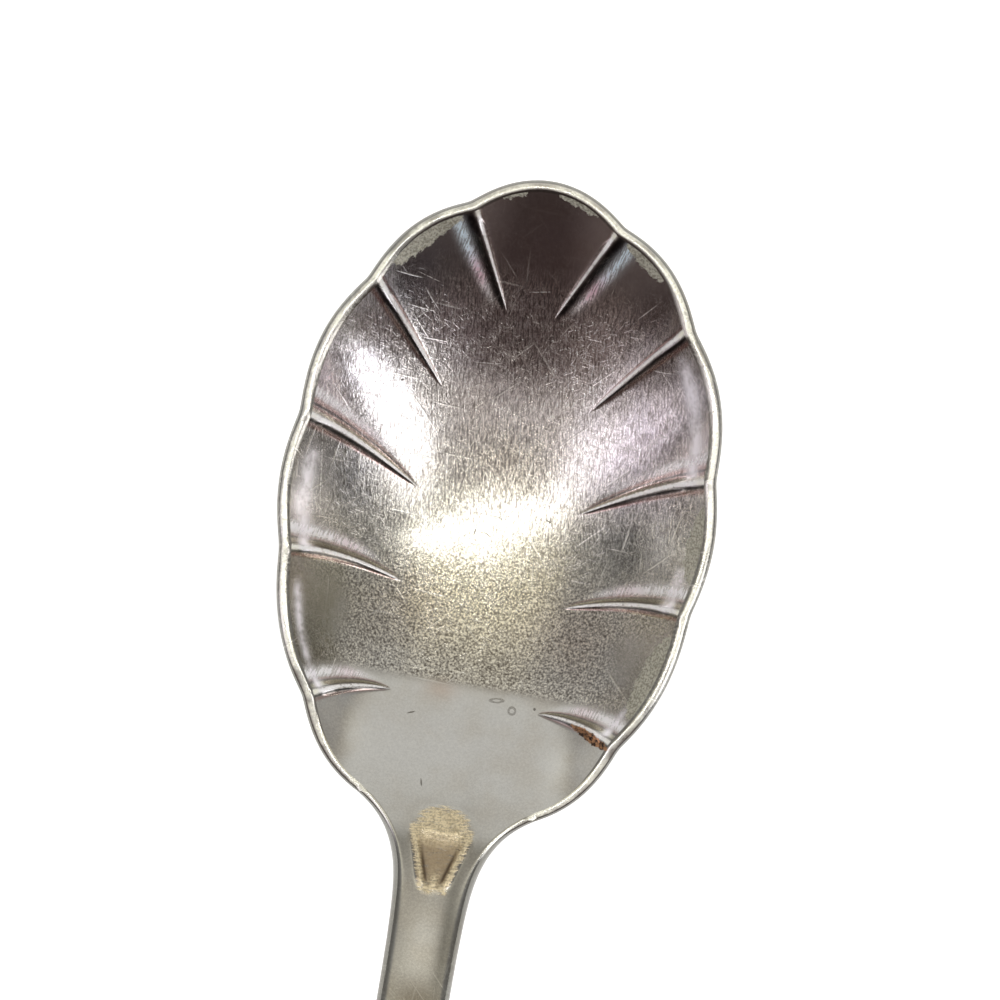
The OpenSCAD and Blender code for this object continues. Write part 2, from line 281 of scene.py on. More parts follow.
def metal(x, y):
    u = x / (HEEL_HALF_WIDTH + half_width(np.minimum(y, PART_Y)) * ease(PART_Y, NECK_Y, y))
    return mix(edge_metal(y), middle_metal(y), np.exp(-u * u))


def points(x, y, z):
    return np.stack(np.broadcast_arrays(x, y, z), -1)


def scaled(vectors, lengths):
    return vectors * np.asarray(lengths)[..., None]


def rim_turns():
    """Angles round the half circle of an edge, without its two ends."""
    return 180 * np.arange(1, RIM_STEPS)[None, :] / RIM_STEPS


# Sections across the neck, stem and handle


def side_slope(y):
    y = np.minimum(y, PART_Y - STEP)
    return np.abs(half_width(y + STEP) - half_width(y - STEP)) / (2 * STEP)


def inner_half(y):
    wide = half_width(y)
    return np.maximum(wide / 2, wide - edge_metal(y) / 2 * np.hypot(1, side_slope(y)))


def squeeze(y):
    u = np.clip(1 - (y - END_Y) / (HANDLE_EDGE / 2), 0, 1)
    return np.sqrt(1 - u * u)


def section_middle(x, y):
    return points(x, y, top_z(x, y)) - scaled(face_dir(x, y), metal(x, y) / 2)


def section_face(v, y, side):
    x = v * inner_half(y)
    relief = tongue_relief(x, y) if side > 0 else 0 * x
    lifted = scaled(face_dir(x, y), side * metal(x, y) / 2 * squeeze(y))
    return section_middle(x, y) + lifted + points(0 * x, 0 * x, relief)


def section_edge(hand, y, turn):
    x = hand * inner_half(y)
    middle = section_middle(x, y)
    side = points(hand * half_width(y), y, middle[..., 2])
    lifted = scaled(face_dir(x, y), metal(x, y) / 2 * squeeze(y) * cosd(turn))
    return middle + lifted + scaled(side - middle, sind(turn))


def section_ring(y):
    """Rings of points, one for each y: over the top from left to right and back underneath."""
    y = np.asarray(y, float)[:, None]
    v = np.linspace(-1, 1, CUT_COLUMNS + 1)[None, :]
    turn = rim_turns()
    return np.concatenate(
        [
            section_face(v, y, 1),
            section_edge(1, y, turn),
            section_face(-v, y, -1),
            section_edge(-1, y, turn[:, ::-1]),
        ],
        axis=1,
    )


# The bowl


def arc_rate(angle):
    return np.hypot(CUP_HALF_WIDTH * cosd(angle), CUP_HALF_LENGTH * sind(angle)) * math.pi / 180


def aim_y(angle):
    return OVAL_HALF_LENGTH * np.interp(angle, AIM_ANGLES, AIM_SHARES)


def lobe_swell(angle):
    starts = np.array([-RIDGE_ANGLES[0], *RIDGE_ANGLES])
    ends = np.array([*RIDGE_ANGLES, LAST_ANGLE])
    k = np.searchsorted(RIDGE_ANGLES, angle, side="right")
    turn = (angle - starts[k]) / (ends[k] - starts[k])
    swell = np.sin(np.pi * np.clip(turn, 0, 1))
    swell = np.sqrt(swell**2 + CORNER_SOFTNESS**2) - CORNER_SOFTNESS
    return np.array(LOBES)[k] * swell


BEAD_HALF = 0.52
SOFT_HALF = 1.25
SOFT_PARTS = (0.3, 0.04, 0.3, 0.3, 0.3)
BEAD_POWER = 2.6


def ridge_place(k, angle, share):
    """How far up a ridge a point is, and how far across it, positive on its soft side."""
    root = RIDGE_ROOT_SHARES[k]
    grow = np.clip((share - root) / (1 - root), 0, 1)
    line = RIDGE_ANGLES[k] - RIDGE_BENDS[k] * 4 * grow * (1 - grow)
    return grow, (line - angle) * arc_rate(RIDGE_ANGLES[k]) * share * SOFT_SIDES[k]


def ridge_lift(angle, share):
    """Height of the ridges: a bead with a soft fillet on one side of it."""
    highest = np.zeros(np.broadcast(angle, share).shape)
    for k in range(len(RIDGE_ANGLES)):
        grow, across = ridge_place(k, angle, share)
        width = np.maximum(grow, 1e-4) ** RIDGE_TAPER_POWER
        bead = np.exp(-np.abs(across / (BEAD_HALF * width)) ** BEAD_POWER)
        soft = np.exp(-np.abs(across / (SOFT_HALF * width)) ** 2) * ease(-0.3, 0.3, across)
        form = mix(bead, np.maximum(bead, soft), SOFT_PARTS[k])
        sink = mix(1, RIM_RIDGE_SHARE, ease(RIM_RIDGE_START, 1, share))
        highest = np.maximum(highest, RIDGE_HEIGHT * grow**RIDGE_GROWTH_POWER * form * sink)
    return highest


def rim_x(angle):
    return CUP_HALF_WIDTH * sind(angle) * egg(cosd(angle))


def rim_out(angle):
    return points(CUP_HALF_LENGTH * sind(angle), CUP_HALF_WIDTH * cosd(angle), 0 * angle)


def wall_point(angle, share, under):
    """Point of the right half of the wall, on its top or underneath."""
    x = rim_x(angle) * share
    y = mix(aim_y(angle), CUP_HALF_LENGTH * cosd(angle), share)
    up = face_dir(x, y)
    lift_up = unit(up + scaled(np.array([0, 0, 1]) - up, ease(RIM_RIDGE_START, 1, share)))
    return (
        points(x, y, top_z(x, y))
        + scaled(unit(rim_out(angle)), lobe_swell(angle) * share**SWELL_POWER)
        + scaled(lift_up, ridge_lift(angle, share))
        - scaled(up, under * metal(x, y))
    )


def rim_point(angle, turn):
    angle, turn = np.broadcast_arrays(angle, turn)
    x = rim_x(angle)
    y = CUP_HALF_LENGTH * cosd(angle)
    up = face_dir(x, y)
    out = rim_out(angle)
    along = unit(out - scaled(up, np.sum(out * up, -1)))
    half = metal(x, y) / 2
    centre = wall_point(angle, np.ones_like(angle, float), 0.5)
    return centre + scaled(up, cosd(turn) * half) + scaled(along, sind(turn) * half)


def row_shares(count):
    return 1 - (1 - np.arange(1, count + 1) / count) ** ROW_POWER


def side_angles():
    """Angles of the columns of one side, closer together at the ridges."""
    fine = np.linspace(0, WEDGE_ANGLE, 20001)
    away = np.min([np.abs(fine - a) * arc_rate(a) for a in RIDGE_ANGLES], axis=0)
    spacing = mix(FINE_SPACING, WIDE_SPACING, ease(FINE_REACH * 0.7, FINE_REACH * 1.6, away))
    rate = arc_rate(fine) / spacing
    total = np.concatenate([[0], np.cumsum((rate[1:] + rate[:-1]) / 2 * (fine[1] - fine[0]))])
    count = int(round(total[-1]))
    return np.interp(np.linspace(0, total[-1], count + 1), total, fine)


def side_strips(angles):
    a = angles[:, None]
    top = row_shares(ROWS)[None, :]
    low = row_shares(UNDER_ROWS)[::-1][None, :]
    edge = rim_point(a, rim_turns())
    return np.concatenate([wall_point(a, top, 0), edge, wall_point(a, low, 1)], axis=1)


def floor_point(v, share, under):
    x = v * inner_half(np.float64(PART_Y)) * share
    y = mix(aim_y(LAST_ANGLE), PART_Y, share) + 0 * x
    return points(x, y, top_z(x, y)) - scaled(face_dir(x, y), under * metal(x, y))


def cut_strips():
    v = np.linspace(1, -1, CUT_COLUMNS + 1)[:, None]
    top = row_shares(ROWS)[None, :]
    low = row_shares(UNDER_ROWS)[::-1][None, :]
    turn = rim_turns()
    right = section_edge(1, np.full((1, 1), PART_Y), turn)[0]
    left = section_edge(-1, np.full((1, 1), PART_Y), turn)[0]
    edges = np.where((v < 0)[:, :, None], left[None], right[None])
    return np.concatenate([floor_point(v, top, 0), edges, floor_point(v, low, 1)], axis=1)


def mirrored(p):
    return p * np.array([-1, 1, 1])


class Skin:
    """One mesh of the whole spoon, with the piece that each face belongs to."""

    def __init__(self):
        self.points = []
        self.count = 0
        self.faces = {}
        self.rim = []
        self.edge = []
        self.wall = []
        self.angle = []
        self.share = []

    def add(self, p):
        index = self.count + np.arange(len(p))
        self.points.append(p)
        self.count += len(p)
        return index

    def join(self, name, quads):
        self.faces.setdefault(name, []).append(quads.reshape(-1, 4))


def grid_quads(index):
    """Quads between neighbouring rows of a table of point numbers."""
    a, b = index[:-1], index[1:]
    return np.stack([a[:, :-1], a[:, 1:], b[:, 1:], b[:, :-1]], -1)


def build_skin():
    skin = Skin()
    side = side_angles()
    right = side_strips(side)
    cut = cut_strips()
    wedge_shares = np.arange(1, WEDGE_COLUMNS) / WEDGE_COLUMNS
    wedge = mix(right[-1][None], cut[0][None], wedge_shares[:, None, None])
    right = np.concatenate([right, wedge])
    columns = np.concatenate([right, cut, mirrored(right[:0:-1])])
    columns[..., 2] = np.maximum(columns[..., 2], 0)
    sides = len(right)
    strip = columns.shape[1]
    index = skin.add(columns.reshape(-1, 3)).reshape(len(columns), strip)

    side_columns = np.r_[0:sides, sides + CUT_COLUMNS + 1 : len(columns)]
    skin.rim = index[side_columns, ROWS - 1 : ROWS + RIM_STEPS - 1].ravel()
    wall_angles = np.concatenate([side, np.linspace(side[-1], LAST_ANGLE, WEDGE_COLUMNS + 1)[1:-1]])
    wall_angles = np.concatenate([wall_angles, np.full(CUT_COLUMNS + 1, LAST_ANGLE), -wall_angles[:0:-1]])
    skin.wall = index[:, :ROWS].ravel()
    skin.angle = np.repeat(wall_angles, ROWS)
    skin.share = np.tile(row_shares(ROWS), len(columns))
    angles = np.concatenate([side, np.full(WEDGE_COLUMNS - 1, LAST_ANGLE)])
    place = aim_y(angles)
    place[len(side) :] = mix(place[len(side) - 1], aim_y(LAST_ANGLE), wedge_shares)
    place = np.append(place, aim_y(LAST_ANGLE))
    zero = np.zeros_like(place)
    over = points(zero, place, top_z(zero, place))
    under = over - scaled(face_dir(zero, place), metal(zero, place))
    under[:, 2] = np.maximum(under[:, 2], 0)
    over = skin.add(over)
    under = skin.add(under)
    around = np.arange(len(columns))
    number = np.minimum(np.minimum(around, len(columns) - around), sides)

    grid = np.concatenate([over[number][:, None], index, under[number][:, None]], axis=1)
    ring = np.concatenate([grid, grid[:1]])
    quads = grid_quads(ring)[..., ::-1]
    # The rim of the columns that end on the parting plane is the neck's first ring instead
    cut_rows = slice(ROWS, ROWS + RIM_STEPS)
    keep = np.ones(quads.shape[:2], bool)
    keep[sides : sides + CUT_COLUMNS, cut_rows] = False
    skin.join("bowl", quads[keep])

    # The first ring of the neck is made of the bowl's own points
    first, last = sides, sides + CUT_COLUMNS
    ring_index = np.concatenate(
        [
            index[last : first - 1 : -1, ROWS - 1],
            index[first, ROWS : ROWS + RIM_STEPS - 1],
            index[first : last + 1, ROWS + RIM_STEPS - 1],
            index[last, ROWS : ROWS + RIM_STEPS - 1][::-1],
        ]
    )
    rings = {"bowl": ring_index}
    blade = np.linspace(STEM_Y, ROUND_Y, HANDLE_ROWS + 1)[1:]
    rounding = ROUND_Y - END_ROUND * sind(END_ANGLE * np.arange(1, END_ROWS + 1) / END_ROWS)
    spans = (
        ("neck", np.linspace(PART_Y, NECK_Y, NECK_ROWS + 1)[1:]),
        ("stem", np.linspace(NECK_Y, STEM_Y, STEM_ROWS + 1)[1:]),
        ("handle", np.concatenate([blade, rounding])),
    )
    before = ring_index
    for name, places in spans:
        loops = section_ring(places)
        loops[..., 2] = np.maximum(loops[..., 2], 0)
        numbers = skin.add(loops.reshape(-1, 3)).reshape(loops.shape[:2])
        table = np.concatenate([before[None], numbers])
        table = np.concatenate([table, table[:, :1]], axis=1)
        skin.join(name, grid_quads(table)[..., ::-1])
        before = numbers[-1]
        rings[name] = before
        if name == "neck":
            turns = [*range(CUT_COLUMNS + 1, CUT_COLUMNS + RIM_STEPS), *range(-RIM_STEPS + 1, 0)]
            skin.edge = np.concatenate([ring_index[turns], numbers[:, turns].ravel()])
    return skin, rings


def cap_faces(ring):
    """Faces that close a section, from the point numbers of its ring."""
    under = CUT_COLUMNS + RIM_STEPS
    j = np.arange(CUT_COLUMNS)
    back = under + CUT_COLUMNS - j
    quads = np.stack([ring[j], ring[j + 1], ring[back - 1], ring[back]], -1)
    right = [CUT_COLUMNS, *range(CUT_COLUMNS + 1, under), under]
    left = [under + CUT_COLUMNS, *range(under + CUT_COLUMNS + 1, 2 * under), 0]
    return quads, [[int(ring[i]) for i in edge] for edge in (right, left)]


skin, rings = build_skin()
all_points = np.concatenate(skin.points)
all_faces = {name: np.concatenate(parts) for name, parts in skin.faces.items()}


def vertex_normals(co, quads):
    """Normal of each point, from the faces round it."""
    a, b, c, d = (co[quads[:, i]] for i in range(4))
    across = np.cross(c - a, d - b)
    total = np.zeros_like(co)
    for i in range(4):
        np.add.at(total, quads[:, i], across)
    return total / np.maximum(np.linalg.norm(total, axis=1, keepdims=True), 1e-12)


normals = vertex_normals(all_points, np.concatenate(list(all_faces.values())))


# Wear, tarnish, painted highlights and painted shade, as values on the points of the skin


def spot(p, x, y, half_x, half_y, turn=0):
    """Share of a soft oval spot in plan, in millimetres."""
    c, s = heading(turn)
    dx, dy = p[:, 0] - x, p[:, 1] - y
    long = (dx * c + dy * s) / half_x
    wide = (dy * c - dx * s) / half_y
    return np.exp(-(long**2) - wide**2)


# Colours of the bare plate, and of the painted shade on the side of the rim, its inner slope and the
# flanks of the stem
BARE = np.array((1.0, 0.985, 0.94))
RIM_SIDE_SHADE = np.array((0.46, 0.46, 0.43))
RIM_INSIDE_SHADE = np.array((0.60, 0.58, 0.53))
STEM_SIDE_SHADE = np.array((0.42, 0.415, 0.38))
# Spots of tarnish and of painted light: colours well above 1 lighten the plate as painted highlights and
# reflections, and the darkest greys are painted shade
TONE_AND_PAINTED_LIGHT_SPOTS = (
    # name, x, y, half length, half width, turn, colour, strength
    ("tan floor", 0, -4, 9, 9, 0, (1.02, 0.965, 0.80), 0.9),
    # Lighter front: mauve tarnish with a painted highlight
    ("mauve front", 0, 10.5, 7.5, 6, 0, (1.38, 1.27, 1.23), 0.95),
    ("brown tip", 0.5, 21, 6, 7, 0, (0.94, 0.79, 0.76), 0.9),
    # The dark second lobes: tarnish deepened by painted shade
    ("brown second lobe", 10.8, 17.6, 4.8, 4.0, -40, (0.32, 0.26, 0.245), 0.95),
    ("blue second lobe", -9.8, 18.2, 4.8, 4.0, 40, (0.30, 0.30, 0.33), 0.95),
    # Painted highlights: the lavender bands
    ("lavender right", 12.4, 7.0, 4.8, 6, 0, (1.34, 1.24, 1.33), 0.95),
    ("lavender left", -13.2, 9.2, 4.2, 6, 0, (1.45, 1.40, 1.50), 0.95),
    # Painted shade: the grey sides of the bowl
    ("grey right side", 13.2, -0.8, 4.5, 3.9, 0, (0.20, 0.197, 0.187), 0.93),
    ("grey left side", -13.4, 1.0, 3.4, 4.2, 0, (0.44, 0.43, 0.46), 0.92),
    ("olive left", -13, -8.5, 4.5, 4, 0, (0.88, 0.86, 0.74), 0.9),
    ("brown right", 9, -9, 5, 4, 0, (0.76, 0.66, 0.58), 0.85),
    ("brown left", -6, -8.5, 4.5, 3.5, 0, (0.84, 0.76, 0.64), 0.85),
    ("shoulder", 0, -18.5, 14, 5.0, 0, (1.0, 0.985, 0.95), 1.0),
    ("throat sides", 0, -25.5, 12, 3.2, 0, (0.86, 0.845, 0.79), 0.8),
    ("stem", 0, -42, 8, 11, 0, (1.10, 1.07, 0.97), 0.9),
    # Painted highlight on the top of the stem, painted shade on its side
    ("stem top", -0.1, -33.6, 1.8, 4.2, 0, (2.0, 1.98, 1.88), 0.9),
    ("stem side", 1.75, -33.5, 0.60, 8, 0, (0.60, 0.59, 0.54), 0.9),
    # Painted shade on the outer sides of the bowl
    ("outer left", -16.2, -2.5, 2.6, 4.5, 0, (0.55, 0.54, 0.56), 0.9),
    ("outer right", 16.2, -2.5, 2.6, 5.0, 0, (0.50, 0.49, 0.46), 0.9),
    ("grey fifth right", 12.5, -10.5, 2.6, 3.4, 0, (0.86, 0.86, 0.84), 0.8),
    ("brown under fifth", -2.0, -14.6, 1.3, 0.8, 0, (0.95, 0.78, 0.66), 0.6),
    ("stem foot", 0.2, -38.4, 2.4, 1.6, 0, (0.54, 0.47, 0.38), 0.9),
    ("brown middle", 0.2, 4.8, 4.2, 2.8, 0, (0.80, 0.73, 0.64), 0.8),
    # Painted highlights: the pale mauve and grey spots and the sides of the shoulder
    ("mauve right", 5.2, 14.6, 3.0, 3.4, 0, (1.80, 1.65, 1.62), 0.8),
    ("mauve left", -5.2, 14.0, 2.8, 3.2, 0, (1.50, 1.41, 1.48), 0.7),
    ("grey under the tip", -0.8, 16.6, 3.0, 2.6, 0, (1.60, 1.50, 1.49), 0.8),
    ("shoulder right side", 11.0, -18.0, 1.9, 3.0, -38, (1.75, 1.72, 1.60), 0.95),
    ("shoulder left side", -10.4, -17.6, 1.5, 3.0, 38, (1.35, 1.33, 1.24), 0.9),
)

# Bands along a ridge: name, middle and half width where the ridge is widest, strength. Light bands are
# worn crests with a painted highlight, dark bands are painted shade, and satin bands are rubbed plate with
# a painted sheen
# Positive places are on the ridge's soft side
FIRST_RIDGE = (
    ("satin_and_sheen", 1.62, 0.62, 1.0),
    ("dark", 0.42, 0.64, 1.0),
    ("light", -0.42, 0.21, 1.0),
    ("blush", -0.75, 0.14, 0.5),
)
SECOND_RIDGE = (
    ("blush", 0.86, 0.15, 0.8),
    ("light", 0.42, 0.27, 1.0),
    ("dark", -0.18, 0.28, 1.0),
    ("blush", -0.68, 0.26, 0.9),
)
THIRD_RIDGE = (
    ("satin_and_sheen", 2.35, 0.62, 0.75),
    ("blush", 1.55, 0.32, 0.9),
    ("dark", 1.18, 0.14, 0.8),
    ("blush", 0.88, 0.18, 0.7),
    ("olive", 0.52, 0.22, 0.9),
    ("light", 0.05, 0.30, 1.0),
    ("dark", -0.46, 0.22, 1.0),
    ("blush", -0.92, 0.30, 0.8),
)
OTHER_RIDGES = (
    ("satin_and_sheen", 1.85, 0.70, 1.0),
    ("blush", 1.15, 0.18, 0.9),
    ("dark", 0.95, 0.11, 0.7),
    ("olive", 0.62, 0.28, 0.9),
    ("dark", 0.30, 0.10, 0.8),
    ("light", -0.04, 0.24, 1.0),
    ("dark", -0.42, 0.15, 1.0),
    ("blush", -0.76, 0.22, 0.8),
)
RIDGE_BANDS = (FIRST_RIDGE, SECOND_RIDGE, THIRD_RIDGE, OTHER_RIDGES, OTHER_RIDGES)
BAND_KINDS = ("light", "satin_and_sheen", "dark", "blush", "olive", "end", "foot", "strip")
BAND_SPREAD = 0.82
CREST_END_HALF = 0.26

# Pink tarnish halfway up the satin bands: reach across, middle and half length in shares of the ridge
PINK_REACH = 2.2
PINK_MIDDLE, PINK_HALF = 0.5, 0.16
PINK_SHARES = (1, 1, 0.4, 0.4, 0.4)

# Painted highlights as bright strips just inside the rim: side, from angle, to angle, share of the wall,
# half width
EDGE_HIGHLIGHTS = (
    (-1, 80, 102, 0.940, 0.034),
    (-1, 106, 130, 0.960, 0.022),
    (1, 50, 77, 0.945, 0.028),
    (1, 92, 102, 0.945, 0.028),
    (1, 120, 130, 0.950, 0.024),
)

# The lean of the metal, in degrees, between which the rim is worn bright and carries a painted highlight
RIM_INNER, RIM_OUTER = -12, 30

# Smooth patches among the scratches: x, y, half sizes, how smooth
CALM = (
    (-12.8, -9.6, 3.0, 4.0, 0.85),
    (12.4, -9.5, 2.6, 3.2, 0.65),
    (-14.6, 3.0, 1.6, 3.0, 0.4),
)

# Crescents inside the rim where the plate is scraped: side, from angle, to angle, depth
SCRAPES = (
    (-1, 23, 43, 0.060),
    (-1, 5, 12, 0.016),
    (1, 1.5, 14, 0.026),
    (1, 23, 36, 0.038),
    (1, 82, 96, 0.060),
    (1, 106, 124, 0.085),
)


def ridge_bands():
    """Crests worn and painted as highlights, painted shade in dark lines at their feet, painted highlights
    in strips inside the rim, and reddish tarnish along the ridges.
    """
    made = {key: np.zeros(len(all_points)) for key in BAND_KINDS}
    angle, share = np.abs(skin.angle), skin.share

    def mark(key, value):
        made[key][skin.wall] = np.maximum(made[key][skin.wall], value)

    for k in range(len(RIDGE_ANGLES)):
        grow, across = ridge_place(k, angle, share)
        width = np.maximum(grow, 1e-3) ** RIDGE_TAPER_POWER
        across = across / width
        along = ease(0.0, 0.12, grow)
        for key, middle, half, strength in RIDGE_BANDS[k]:
            power = 2 if key == "satin_and_sheen" else 3
            away = np.abs(across - middle * BAND_SPREAD) / (half * BAND_SPREAD)
            band = np.exp(-(away**power)) * along * strength
            if key == "satin_and_sheen":
                band = band * ease(0.1, 0.5, grow)
            # Where a crest meets the rim its end is painted pale with the rim, as a painted highlight
            if key == "light":
                off = np.abs(across - middle * BAND_SPREAD) * width / CREST_END_HALF
                tip = np.exp(-(off**3)) * ease(0.95, 0.985, share)
                mark("end", tip)
            mark(key, band)
        near = np.exp(-((across * width / PINK_REACH) ** 4))
        near = near * np.exp(-(((grow - PINK_MIDDLE) / PINK_HALF) ** 2)) * PINK_SHARES[k]
        mark("foot", near)
    for hand, first, last, middle, half in EDGE_HIGHLIGHTS:
        turned = skin.angle * hand
        along = ease(first, first + 4, turned) * ease(last, last - 1.5, turned)
        strip = np.exp(-(((share - middle) / half) ** 2)) * along
        mark("strip", strip)
    return made


def skin_traits(p, n):
    """Named values on every point: what the material reads."""
    px, py = p[:, 0], p[:, 1]
    tone_and_painted_light = np.tile(BARE, (len(p), 1))
    over = ease(0.05, 0.35, n[:, 2])
    for _, *place, colour, strength in TONE_AND_PAINTED_LIGHT_SPOTS:
        share = (spot(p, *place) * strength * over)[:, None]
        tone_and_painted_light = mix(tone_and_painted_light, np.array(colour), share)
    away = np.hypot(px / CUP_HALF_WIDTH, py / CUP_HALF_LENGTH)
    scratch = ease(1.4, 0.6, away) * ease(RAMP_Y - 1.0, RAMP_Y + 0.8, py)
    scratch = np.maximum(scratch, 0.25 * ease(NECK_Y + 4, NECK_Y - 4, py))
    scratch = scratch * ease(0.15, 0.45, np.abs(n[:, 2])) * (1 - 0.75 * ease(16, 22, py))
    for *place, share in CALM:
        scratch = scratch * (1 - share * spot(p, *place))
    cap, rails, hollow, foot = tongue_parts(px, py)
    inside = ease(BRASS_SIDE, 0, np.abs(px) - rail_place(py))
    inside = inside * ease(RAIL_TOP_Y + BRASS_TOP_OUT, RAIL_TOP_Y + BRASS_TOP_FULL, py)
    inside = inside * ease(RAIL_FOOT_Y - BRASS_FOOT_OUT, RAIL_FOOT_Y + BRASS_FOOT_FULL, py)
    gold = np.maximum(cap**0.75, inside) * over
    # Painted shade along the foot of the hollow's wall
    crease = np.exp(-(((rail_place(py) - CREASE_IN - np.abs(px)) / CREASE_HALF) ** 2))
    crease = crease * ease(CREASE_START_Y, CREASE_FULL_Y, py)
    crease = crease * ease(RAIL_FOOT_Y, RAIL_FOOT_Y + CREASE_FADE, py) * over
    outward = np.stack([px / CUP_HALF_WIDTH**2, py / CUP_HALF_LENGTH**2], -1)
    spread = (half_width(py + STEP) - half_width(py - STEP)) / (2 * STEP)
    aside = np.stack([np.sign(px), -spread], -1)
    outward = np.where((py < PART_Y + STEP)[:, None], aside, outward)
    outward = outward / np.maximum(np.linalg.norm(outward, axis=1, keepdims=True), 1e-9)
    lean = np.degrees(np.arctan2(np.sum(n[:, :2] * outward, 1), n[:, 2]))
    # The top of the rim is painted pale: worn plate and a painted highlight
    rim = rim_mask * ease(RIM_INNER - 9, RIM_INNER + 5, lean) * ease(RIM_OUTER + 7, RIM_OUTER - 7, lean)
    # Painted shade on the outer side of the rim
    side = ease(RIM_OUTER - 4, RIM_OUTER + 8, lean) * ease(130, 100, lean) * (rim_mask > 0)
    tone_and_painted_light = mix(tone_and_painted_light, RIM_SIDE_SHADE, side[:, None])
    # Painted shade on the inner slope of the rim
    inner = rim_mask * ease(RIM_INNER + 2, RIM_INNER - 10, lean)
    tone_and_painted_light = mix(tone_and_painted_light, RIM_INSIDE_SHADE, inner[:, None])
    # Painted shade on the flanks of the neck and stem, where the metal leans away from straight up
    flank_shade = ease(PART_Y - 1.5, PART_Y - 3.5, py) * ease(STEM_Y, NECK_Y - 8, py)
    flank_shade = flank_shade * ease(0.985, 0.80, n[:, 2]) * ease(-0.5, 0.0, n[:, 2])
    tone_and_painted_light = mix(tone_and_painted_light, STEM_SIDE_SHADE, flank_shade[:, None])
    bands = ridge_bands()
    for key in ("dark", "blush", "olive"):
        bands[key] *= 1 - rim
    rim = np.maximum(rim, bands.pop("end"))
    return {
        "tone_and_painted_light": np.concatenate([tone_and_painted_light, np.ones((len(p), 1))], 1),
        "scratch": scratch,
        "gold": gold,
        "hollow": hollow * (1 - foot) * over,
        "crease": crease,
        "top": over,
        "rim": rim,
        "scrape": scrape_mask(),
        "copper": ease(0.15, 0.8, spot(p, 10.4, -16.2, 1.9, 0.42, -24)) * over,
        **bands,
    }


def scrape_mask():
    """Crescents just inside the rim where the plate has been scraped."""
    made = np.zeros(len(all_points))
    for hand, first, last, depth in SCRAPES:
        angle = skin.angle * hand
        along = np.clip((angle - first) / (last - first), 0, 1)
        reach = 1 - depth * np.sqrt(np.sin(np.pi * along))
        inside = (angle > first) & (angle < last)
        scraped = inside * ease(reach - 0.05, reach + 0.05, skin.share)
        made[skin.wall] = np.maximum(made[skin.wall], scraped)
    return made


rim_mask = np.zeros(len(all_points))
rim_mask[skin.rim] = 1
rim_mask[skin.edge] = ease(PART_Y - 3.4, PART_Y - 1.6, all_points[skin.edge, 1])
traits = skin_traits(all_points, normals)


def make_piece(name, before, after):
    """One closed piece of the skin, shaded as part of the whole."""
    quads = all_faces[name]
    caps, ends = [], []
    for ring, flip in ((before, False), (after, True)):
        if ring is None:
            continue
        flat, rounds = cap_faces(ring)
        caps.append(flat if flip else flat[:, ::-1])
        ends += [r if flip else r[::-1] for r in rounds]
    side_faces = [list(map(int, q)) for q in quads]
    cap_list = [list(map(int, q)) for part in caps for q in part] + ends
    parts = [quads.ravel(), *(c.ravel() for c in caps), *(np.array(e) for e in ends)]
    used = np.unique(np.concatenate(parts))
    number = np.full(len(all_points), -1)
    number[used] = np.arange(len(used))
    faces, corner_normals = [], []
    for face in side_faces:
        kept = [i for n, i in enumerate(face) if i != face[n - 1]]
        if len(kept) < 3:
            continue
        faces.append([int(number[i]) for i in kept])
        corner_normals += [normals[i] for i in kept]
    for face in cap_list:
        corner = all_points[face]
        flat = np.cross(corner[1] - corner[0], corner[2] - corner[0])
        side = 1 if flat[1] > 0 else -1
        faces.append([int(number[i]) for i in face])
        corner_normals += [np.array([0, side, 0])] * len(face)
    mesh = bpy.data.meshes.new(name + "_skin")
    mesh.from_pydata((all_points[used] * MM).tolist(), [], faces)
    mesh.update()
    mesh.normals_split_custom_set([tuple(n) for n in corner_normals])
    for key, value in traits.items():
        kind = "FLOAT" if value.ndim == 1 else "FLOAT_COLOR"
        layer = mesh.attributes.new(key, kind, "POINT")
        data = value[used].astype(np.float32).ravel()
        layer.data.foreach_set("value" if value.ndim == 1 else "color", data)
    piece = bpy.data.objects.new(name + "_skin", mesh)
    bpy.context.scene.collection.objects.link(piece)
    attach(piece, "root")
    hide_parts(name)
    return piece


bowl = make_piece("bowl", None, rings["bowl"])
neck = make_piece("neck", rings["bowl"], rings["neck"])
stem = make_piece("stem", rings["neck"], rings["stem"])
handle = make_piece("handle", rings["stem"], rings["handle"])


# Materials


